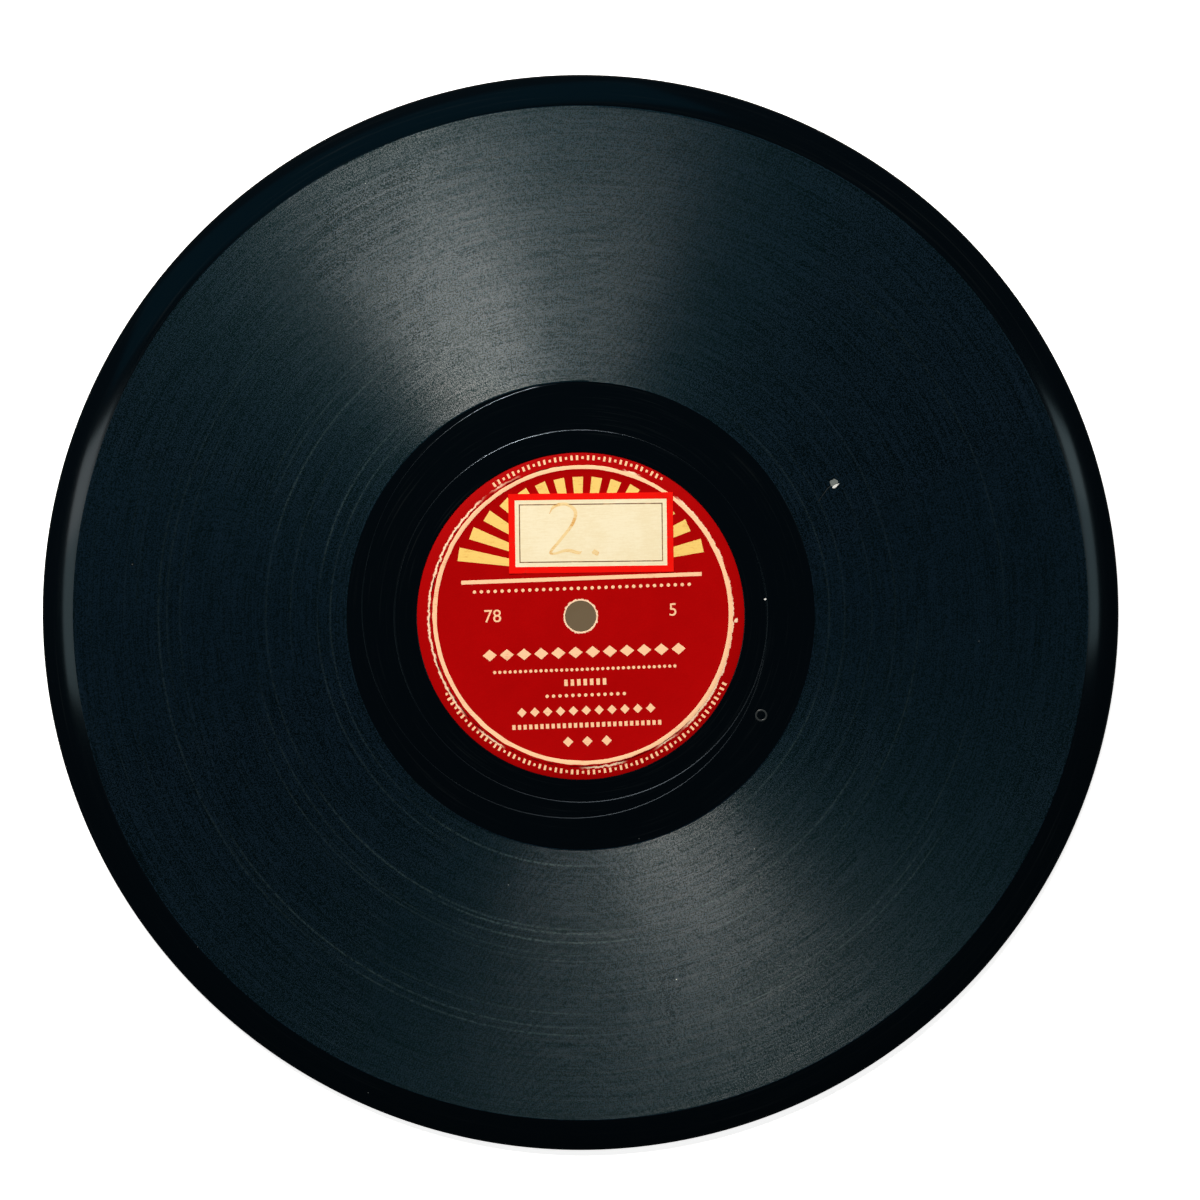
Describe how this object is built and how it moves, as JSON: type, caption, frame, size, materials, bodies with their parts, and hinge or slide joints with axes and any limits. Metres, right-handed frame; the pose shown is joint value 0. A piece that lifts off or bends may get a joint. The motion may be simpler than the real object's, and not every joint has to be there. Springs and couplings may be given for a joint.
{
  "type": "shellac record",
  "caption": "Double-sided ten-inch shellac gramophone record with a recorded band, run-out grooves, a standard spindle hole, paper labels and a gummed number sticker.",
  "frame": {"origin": "on the axis of the spindle hole, at the level of the back lands that the record lies on", "axes": "+Z out of the pictured front face along the spindle hole, +Y towards the top of the front label, +X to its right"},
  "size_m": [0.2508, 0.2508, 0.0021],
  "materials": {
    "shellac": "pressed shellac compound: near black, polished on the lands and the rim, finely grooved between",
    "label_paper": "dark red uncoated label paper printed in cream, slightly glazed by the press",
    "sticker_paper": "cream gummed paper with a red printed border and a numeral in pencil"
  },
  "bodies": {
    "root": {"disc": "shellac", "label_front": "label_paper", "label_back": "label_paper", "number_sticker": "sticker_paper"}
  },
  "joints": []
}
